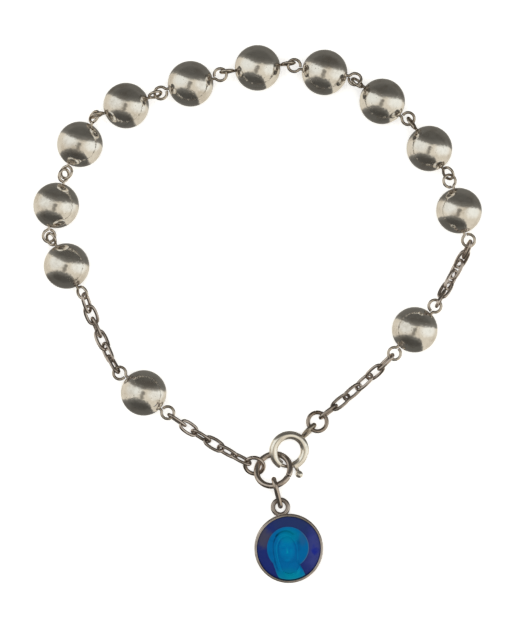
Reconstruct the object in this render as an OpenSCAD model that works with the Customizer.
// Religious medal bracelet: a rosary bracelet of twelve round metal beads on eye pins, four short
// stretches of cable chain, a spring ring clasp and a round enamelled medal.
// It lies open in a loop on a flat surface. Millimetres, +Z up. The origin is on that surface under
// the middle of the whole outline, the ten close beads are towards +Y and the medal towards -Y.

/* [Beads] */
// Diameter of a bead
bead_d = 7; // [6.9:0.1:7.1]
// Wall of the hollow beads
bead_wall = 0.5; // [0.3:0.1:1]
// Diameter of the hole at each end of a bead
bead_hole_d = 0.8; // [0.7:0.05:1.2]

/* [Eye pins] */
// Wire of the pins through the beads
pin_wire_d = 0.44; // [0.38:0.02:0.46]
// Bend radius of an eye, to the middle of the wire
eye_r = 0.95; // [0.92:0.01:0.97]

/* [Chain] */
// Wire of the chain's links
link_wire_d = 0.5; // [0.4:0.02:0.52]
// Outer length of a link
link_length = 3.66; // [3.6:0.02:3.7]
// Outer width of a link
link_width = 2.1; // [2:0.05:2.1]

/* [Rings] */
// Wire of the two small jump rings
small_wire_d = 0.62; // [0.56:0.02:0.64]
// Outer diameter of the two small jump rings
small_ring_d = 3.52; // [3.48:0.02:3.56]
// Wire of the large jump ring
large_wire_d = 0.9; // [0.8:0.02:0.92]
// Outer diameter of the large jump ring
large_ring_d = 6.2; // [6.16:0.02:6.24]
// Wire of the long ring that carries the medal
medal_wire_d = 0.76; // [0.6:0.02:0.78]

/* [Clasp] */
// Outer diameter of the spring ring
clasp_d = 6.2; // [6.1:0.05:6.25]
// Diameter of the spring ring's tube
tube_d = 1.26; // [1.2:0.02:1.3]
// Bore of the tube that the bolt slides in
tube_bore_d = 0.86; // [0.8:0.02:0.9]
// Diameter of the bolt
bolt_d = 0.52; // [0.46:0.02:0.56]
// Angle that the bolt slides through when it is pulled open
bolt_travel = 48; // [40:1:50]

/* [Medal] */
// Diameter of the medal
medal_d = 10.6; // [10.5:0.05:10.65]
// Thickness of the medal at its rim
medal_h = 1.8; // [1.7:0.05:1.9]
// Width of the metal rim round the enamel
rim_w = 0.38; // [0.3:0.02:0.5]
// Height that the figure stands above the enamel's ground
relief_h = 0.34; // [0.2:0.02:0.36]

/* [Hidden] */
$fn = 48;

bead_r = bead_d / 2;
pin_r = pin_wire_d / 2;
link_r = link_wire_d / 2;
// The room that two wires leave each other where they cross
play = 0.15;

// One row for each bead, from the clasp's left hand side round to its right hand side: where the
// bead lies, which way its pin points, and how far the eyes behind and ahead are rolled from flat
BEAD_XY = 0;
BEAD_HEADING = 1;
BEAD_ROLLS = 2;
beads = [
    [[-17.5, -12.2], 135.6, [0, 0]],
    [[-29.35, 7.3], 117, [45, -50]],
    [[-30.95, 16.6], 72, [-20, 45]],
    [[-27.3, 26], 60, [30, -55]],
    [[-20.2, 31.95], 19, [100, 70]],
    [[-10.3, 35.3], 12.3, [5, 10]],
    [[0, 37.75], 7.3, [95, 85]],
    [[10.3, 37.05], -7.9, [175, 165]],
    [[19.15, 32.6], -38.5, [65, 10]],
    [[26.4, 25.35], -56, [75, 50]],
    [[30.95, 15.8], -77, [15, 0]],
    [[24.15, -2.5], -135.4, [0, 0]],
];
bead_count = len(beads);

// A pin's shank runs straight to where its eye begins, bends a little to one side, then turns
// back the other way round the eye and stops short of the shank, so that the eye is not quite shut
eye_bend_r = 0.4;
eye_reach = 2.22;
eye_end = bead_r + eye_reach;
eye_x = eye_end - eye_r;
eye_lean = atan2(4, 3);
eye_lead = sin(eye_lean) * (eye_r + eye_bend_r);
eye_offset = cos(eye_lean) * (eye_r + eye_bend_r) - eye_bend_r;
eye_past_half = 97;
eye_turn = eye_lean + 180 + eye_past_half;
shank_half = eye_x - eye_lead;
// Bending draws the wire a hair thinner, and the thinner stretch begins a little inside the shank
thinning = 0.005;
eye_wire_r = pin_r - thinning;
eye_root = 0.5;
shank_short = 0.05;

// Links lap over each other by this much on each side of the joint between them
nominal_pitch = 2.42;
half_lap = (link_length - link_wire_d - nominal_pitch) / 2;
// Where the joint between a link and an eye is, from the middle of the bead
eye_joint = eye_end - (pin_wire_d + link_wire_d) / 2 - play + half_lap;

function turned(v, angle) = [v[0] * cos(angle) - v[1] * sin(angle), v[0] * sin(angle) + v[1] * cos(angle)];
function outward(bead, ahead) = beads[bead][BEAD_HEADING] + (ahead ? 0 : 180);
function eye_point(bead, ahead, reach) =
    let (roll = beads[bead][BEAD_ROLLS][ahead ? 1 : 0])
    let (flat = turned([reach, eye_offset * cos(roll)], outward(bead, ahead)))
    [beads[bead][BEAD_XY][0] + flat[0], beads[bead][BEAD_XY][1] + flat[1], bead_r + eye_offset * sin(roll)];

// Rings: middle, which way the high side is, tilt, radius to the middle of the wire, wire radius
RING_MIDDLE = 0;
RING_HIGH_SIDE = 1;
RING_TILT = 2;
RING_R = 3;
RING_WIRE_R = 4;
function ring_r(outer_d, wire_d) = (outer_d - wire_d) / 2;
small_ring_r = ring_r(small_ring_d, small_wire_d);
large_ring_r = ring_r(large_ring_d, large_wire_d);
clasp_r = ring_r(clasp_d, tube_d);
small_ring_left_place = [[-0.5, -23.5, 1.15], 77, 30, small_ring_r, small_wire_d / 2];
small_ring_right_place = [[9.24, -16.72, 1.33], -135, 8, small_ring_r, small_wire_d / 2];
large_ring_place = [[2.43, -24.12, 1.96], -61, 29, large_ring_r, large_wire_d / 2];
clasp_place = [[4.86, -21.18, 1.7], 142, 14.5, clasp_r, tube_d / 2];

function ring_point(ring, angle, r) =
    let (along = r * cos(angle - ring[RING_HIGH_SIDE]), across = r * sin(angle - ring[RING_HIGH_SIDE]))
    let (flat = turned([along * cos(ring[RING_TILT]), across], ring[RING_HIGH_SIDE]))
    [
        ring[RING_MIDDLE][0] + flat[0],
        ring[RING_MIDDLE][1] + flat[1],
        ring[RING_MIDDLE][2] + along * sin(ring[RING_TILT]),
    ];

// Where the joint between a link and a small ring is, from the middle of the ring
ring_joint = small_ring_r - (small_wire_d + link_wire_d) / 2 - play + half_lap;

// One row for each stretch of chain: its name, the joint it starts from, the joint it ends at, how
// far its middle bulges to the left of the way between them, how high the middles of its lying
// links are, the share of an end's height above that which is left one and two joints in from the
// end, and each link's roll about its length
CHAIN_NAME = 0;
CHAIN_START = 1;
CHAIN_END = 2;
CHAIN_BULGE = 3;
CHAIN_REST_Z = 4;
CHAIN_SHARES = 5;
CHAIN_ROLLS = 6;
left_ring_angle = 152;
right_ring_angle = 48;
chains = [
    [
        "upper_left",
        eye_point(1, false, eye_joint),
        eye_point(0, true, eye_joint),
        -0.3, 1.35, [0.55, 0.15], [120, 0, 75, -30, 50, -70],
    ],
    [
        "lower_left",
        eye_point(0, false, eye_joint),
        ring_point(small_ring_left_place, left_ring_angle, ring_joint),
        -0.3, 1.22, [0.62, 0.16], [80, -20, 65, -25, 55, -65],
    ],
    [
        "upper_right",
        eye_point(10, true, eye_joint),
        eye_point(11, false, eye_joint),
        0.15, 0.87, [0.5, 0.13], [75, -35, 50, -50, 40, -80],
    ],
    [
        "lower_right",
        eye_point(11, true, eye_joint),
        ring_point(small_ring_right_place, right_ring_angle, ring_joint),
        0.25, 1.25, [0.74, 0.27], [75, -30, 50, -40, 40, -75],
    ],
];

link_count = len(chains[0][CHAIN_ROLLS]);

// A link is an oval, bent round two tight ends and two long sides. The wire is drawn a hair thinner
// round an end, and the end's bend begins a little inside the side
link_end_r = 0.7;
link_half_length = (link_length - link_wire_d) / 2;
link_half_width = (link_width - link_wire_d) / 2;
link_end_x = link_half_length - link_end_r;
link_side_r = (link_end_x ^ 2 + link_half_width ^ 2 - link_end_r ^ 2) / (2 * (link_half_width - link_end_r));
link_lean = atan2(link_end_x, link_side_r - link_half_width);
link_end_wire_r = link_r - thinning;
link_end_root = 3;

// A stretch hangs from its high ends down to the surface, with a joint between each two links
function joint_share(chain, k) = k == 0 ? 1 : k > len(chain[CHAIN_SHARES]) ? 0 : chain[CHAIN_SHARES][k - 1];
function joint_z(chain, k) =
    chain[CHAIN_REST_Z]
    + (chain[CHAIN_START][2] - chain[CHAIN_REST_Z]) * joint_share(chain, k)
    + (chain[CHAIN_END][2] - chain[CHAIN_REST_Z]) * joint_share(chain, link_count - k);
function joint_step(chain, k) = sqrt(nominal_pitch ^ 2 - (joint_z(chain, k + 1) - joint_z(chain, k)) ^ 2);
function run_to(chain, k) = k == 0 ? 0 : run_to(chain, k - 1) + joint_step(chain, k - 1);
function joint(chain, k) =
    let (way = [chain[CHAIN_END][0] - chain[CHAIN_START][0], chain[CHAIN_END][1] - chain[CHAIN_START][1]])
    let (share = run_to(chain, k) / run_to(chain, link_count))
    let (bulge = 4 * share * (1 - share) * chain[CHAIN_BULGE] / norm(way))
    [
        chain[CHAIN_START][0] + share * way[0] - bulge * way[1],
        chain[CHAIN_START][1] + share * way[1] + bulge * way[0],
        joint_z(chain, k),
    ];

// The medal: where it lies and how far it is turned, in its own frame the loop is towards +Y
medal_xy = [4.82, -36.27];
medal_turn = 11.4;
medal_r = medal_d / 2;
plate_h = 0.6;
edge_inset = 0.1;
rim_round = 0.16;
enamel_gap = 0.04;
enamel_r = medal_r - rim_w - enamel_gap;
ground_z = 1.2;
loop_y = 6.5;
loop_z = 1.24;
loop_hole_r = 0.8;
loop_wire_r = 0.35;
// The solder at the loop's foot
foot_from = medal_r - 0.25;
foot_to = medal_r + 0.3;
foot_half_w = 1.1;
foot_half_top = 0.7;
foot_h = 0.5;

// The long ring of the medal: the middles of its two round ends
medal_ring_end_r = 1;
medal_ring_angle = -80;
medal_ring_upper = ring_point(large_ring_place, medal_ring_angle, large_ring_r);
medal_ring_lower_z = 1.4;
loop_far_side = medal_xy + turned([0, loop_y + loop_hole_r + loop_wire_r], medal_turn);
medal_ring_lower = concat(loop_far_side, medal_ring_lower_z);

// The clasp, in its own plane with +Z along the hinge axis: where its tube is open, where the
// bolt and its thumb knob are, and the soldered loop
gap_from = -121;
gap_to = -73;
bolt_from = -127;
bolt_to = -38;
knob_angle = -66;
knob_out = 4.08;
knob_r = 0.56;
stem_r = 0.28;
slot_play = 0.12;
slot_half = stem_r + slot_play;
slot_margin = 6;
clasp_loop_angle = 45.5;
clasp_loop_r = 1.2;
clasp_loop_wire_r = 0.34;
clasp_loop_out = 4.38;
clasp_loop_lean = 24;

// The figure on the medal: a halo that the shoulders widen to the rim, as a radius for each angle
bust_r = enamel_r - 0.1;
outline = [
    [0, 3.15],
    [99, 3.4],
    [213, 3.35],
    [225, 3.8],
    [240, bust_r],
    [291, bust_r],
    [294, 3],
    [360, 3.15],
];
halo_h = 0.12;
relief_rings = 18;
relief_sectors = 120;

// The mounds that the figure is made of: its veil, its face and its shoulders. Each has its middle,
// half its width and height, its share of the relief's height, and a power that flattens its top
MOUND_MIDDLE = 0;
MOUND_HALF_W = 1;
MOUND_HALF_H = 2;
MOUND_SHARE = 3;
MOUND_POWER = 4;
mounds = [
    [[-0.46, 0.21], 2.15, 2.75, 0.8, 1],
    [[-0.2, -0.1], 1.2, 1.65, 1, 0.5],
    [[-0.3, -5.2], 2.6, 2.5, 1, 1],
];

bead_names = [for (i = [1 : bead_count]) str("bead_", i)];
pin_names = [for (i = [1 : bead_count]) str("eye_pin_", i)];
link_names = [for (chain = chains) [for (k = [1 : link_count]) str("link_", chain[CHAIN_NAME], "_", k)]];

// A bend of round wire that sets out along +X and turns left, or right for a negative angle
module bend(wire_r, bend_r, angle) {
    side = sign(angle);
    translate([0, side * bend_r, 0])
        rotate(side > 0 ? -90 : 90 + angle)
            rotate_extrude(angle = abs(angle)) translate([bend_r, 0]) circle(r = wire_r);
}

// Moves to the end of such a bend, so that what follows carries on from it
module after_bend(bend_r, angle) {
    translate([bend_r * sin(abs(angle)), sign(angle) * bend_r * (1 - cos(angle)), 0]) rotate(angle) children();
}

// A whole jump ring, cut through where its ends meet
module jump_ring(place, cut_angle = 0, cut = 2) {
    translate(place[RING_MIDDLE])
        rotate([0, 0, place[RING_HIGH_SIDE]])
            rotate([0, -place[RING_TILT], 0])
                rotate(cut_angle + cut / 2 - place[RING_HIGH_SIDE])
                    rotate_extrude(angle = 360 - cut)
                        translate([place[RING_R], 0]) circle(r = place[RING_WIRE_R]);
}

// Lays what is drawn flat round the origin, along X, between the points p and q and rolls it about
// its length
module laid(p, q, roll) {
    way = q - p;
    translate((p + q) / 2)
        rotate([roll, -atan2(way[2], norm([way[0], way[1]])), atan2(way[1], way[0])])
            children();
}

module bead(i) {
    color("silver")
        translate(concat(beads[i][BEAD_XY], bead_r))
            rotate([0, 90, beads[i][BEAD_HEADING]])
                difference() {
                    sphere(r = bead_r);
                    sphere(r = bead_r - bead_wall);
                    cylinder(d = bead_hole_d, h = bead_d + 1, center = true);
                }
}

// The eye at the end of a shank that runs along +X, with its loop on the +Y side
module eye() {
    translate([shank_half, 0, 0]) {
        rotate([0, -90, 0]) cylinder(r = eye_wire_r, h = eye_root);
        bend(eye_wire_r, eye_bend_r, -eye_lean);
        after_bend(eye_bend_r, -eye_lean) bend(eye_wire_r, eye_r, eye_turn);
    }
}

module eye_pin(i) {
    rolls = beads[i][BEAD_ROLLS];
    color("gainsboro")
        translate(concat(beads[i][BEAD_XY], bead_r))
            rotate(beads[i][BEAD_HEADING]) {
                rotate([0, 90, 0]) cylinder(r = pin_r, h = 2 * (shank_half - shank_short), center = true);
                rotate(180) rotate([rolls[0], 0, 0]) eye();
                rotate([rolls[1], 0, 0]) eye();
            }
}

module link(chain, k) {
    color("lightgray")
        laid(joint(chain, k), joint(chain, k + 1), chain[CHAIN_ROLLS][k])
            for (half = [0, 180])
                rotate(half) {
                    translate([0, link_side_r - link_half_width, 0])
                        rotate(-90 - link_lean)
                            rotate_extrude(angle = 2 * link_lean)
                                translate([link_side_r, 0]) circle(r = link_r);
                    translate([link_end_x, 0, 0])
                        rotate(link_lean - link_end_root - 90)
                            rotate_extrude(angle = 180 - 2 * (link_lean - link_end_root))
                                translate([link_end_r, 0]) circle(r = link_end_wire_r);
                }
}

module small_ring(place) {
    color("lightgray") jump_ring(place, cut_angle = 100);
}

module large_ring() {
    color("silver") jump_ring(large_ring_place, cut_angle = -25, cut = 4);
}

// The medal's ring has two straight sides and two round ends, and stands on edge
module medal_ring() {
    side = norm(medal_ring_upper - medal_ring_lower);
    color("silver")
        laid(medal_ring_upper, medal_ring_lower, 90)
            for (half = [0, 180])
                rotate(half)
                    translate([-side / 2, -medal_ring_end_r, 0]) {
                        rotate([0, 90, 0]) cylinder(d = medal_wire_d, h = side);
                        translate([side, 0, 0]) bend(medal_wire_d / 2, medal_ring_end_r, 180);
                    }
}

// Lays what is drawn flat round its middle as the clasp lies
module on_clasp() {
    translate(clasp_place[RING_MIDDLE])
        rotate([0, 0, clasp_place[RING_HIGH_SIDE]])
            rotate([0, -clasp_place[RING_TILT], 0])
                rotate(-clasp_place[RING_HIGH_SIDE])
                    children();
}

module clasp_ring() {
    color("silver") on_clasp() {
        difference() {
            rotate(gap_to)
                rotate_extrude(angle = 360 - (gap_to - gap_from))
                    translate([clasp_r, 0]) difference() {
                        circle(d = tube_d);
                        circle(d = tube_bore_d);
                    }
            // The slot that the knob's stem slides in
            rotate(knob_angle - slot_margin)
                rotate_extrude(angle = bolt_travel + 2 * slot_margin)
                    translate([clasp_r, -slot_half]) square([tube_d, 2 * slot_half]);
        }
        rotate(clasp_loop_angle)
            translate([clasp_loop_out, 0, 0])
                rotate([90 - clasp_loop_lean, 0, 0])
                    rotate_extrude() translate([clasp_loop_r, 0]) circle(r = clasp_loop_wire_r);
    }
}

module clasp_bolt() {
    color("gainsboro") on_clasp() {
        rotate(bolt_from)
            rotate_extrude(angle = bolt_to - bolt_from)
                translate([clasp_r, 0]) circle(d = bolt_d);
        rotate(knob_angle) {
            translate([clasp_r, 0, 0]) rotate([0, 90, 0]) cylinder(r = stem_r, h = knob_out - clasp_r);
            translate([knob_out, 0, 0]) sphere(r = knob_r);
        }
    }
}

module on_medal() {
    translate(concat(medal_xy, 0)) rotate(medal_turn) children();
}

module medal_frame() {
    color("silver") on_medal() {
        rotate_extrude() {
            square([medal_r - edge_inset, plate_h]);
            translate([medal_r - rim_w, edge_inset]) square([rim_w, medal_h - rim_round - edge_inset]);
            translate([medal_r - rim_w / 2, medal_h - rim_w / 2]) circle(d = rim_w);
        }
        translate([0, loop_y, loop_z])
            rotate_extrude() translate([loop_hole_r + loop_wire_r, 0]) circle(r = loop_wire_r);
        translate([0, 0, loop_z - foot_h / 2])
            linear_extrude(foot_h)
                polygon([
                    [-foot_half_w, foot_from],
                    [foot_half_w, foot_from],
                    [foot_half_top, foot_to],
                    [-foot_half_top, foot_to],
                ]);
    }
}

module medal_enamel() {
    color("midnightblue") on_medal()
        translate([0, 0, plate_h + enamel_gap]) cylinder(r = enamel_r, h = ground_z - plate_h - enamel_gap);
}

// Height of a rounded mound at a point, 1 at its top and 0 at its edge
function mound(p, middle, half_w, half_h) =
    sqrt(max(0, 1 - ((p[0] - middle[0]) / half_w) ^ 2 - ((p[1] - middle[1]) / half_h) ^ 2));

// The veiled head and shoulders, as a height above the enamel at each point
function figure_height(p) = max(
    halo_h,
    max([
        for (m = mounds)
            let (rise = mound(p, m[MOUND_MIDDLE], m[MOUND_HALF_W], m[MOUND_HALF_H]))
            relief_h * m[MOUND_SHARE] * rise ^ m[MOUND_POWER]
    ])
);

module medal_relief() {
    radius = [for (j = [0 : relief_sectors - 1]) lookup(360 * j / relief_sectors, outline)];
    places = concat(
        [[0, 0]],
        [
            for (i = [1 : relief_rings], j = [0 : relief_sectors - 1])
                turned([radius[j] * i / relief_rings, 0], 360 * j / relief_sectors)
        ]
    );
    top = [for (p = places) concat(p, figure_height(p))];
    edge = 1 + (relief_rings - 1) * relief_sectors;
    base = [for (j = [0 : relief_sectors - 1]) concat(places[edge + j], 0)];
    next = [for (j = [0 : relief_sectors - 1]) (j + 1) % relief_sectors];
    faces = concat(
        [for (j = [0 : relief_sectors - 1]) [0, 1 + next[j], 1 + j]],
        [
            for (i = [0 : relief_rings - 2], j = [0 : relief_sectors - 1])
                let (inner = 1 + i * relief_sectors, outer = inner + relief_sectors)
                each [
                    [inner + j, inner + next[j], outer + j],
                    [inner + next[j], outer + next[j], outer + j],
                ]
        ],
        [for (j = [0 : relief_sectors - 1]) [edge + j, edge + next[j], len(top) + next[j], len(top) + j]],
        [[for (j = [0 : relief_sectors - 1]) len(top) + j]]
    );
    color("steelblue") on_medal()
        translate([0, 0, ground_z + enamel_gap]) polyhedron(concat(top, base), faces);
}

for (i = [0 : bead_count - 1]) bead(i);
for (i = [0 : bead_count - 1]) eye_pin(i);
for (c = [0 : len(chains) - 1], k = [0 : link_count - 1])
    link(chains[c], k);
small_ring(small_ring_left_place);  // small_ring_left
small_ring(small_ring_right_place);  // small_ring_right
large_ring();
medal_ring();
clasp_ring();
clasp_bolt();
medal_frame();
medal_enamel();
medal_relief();
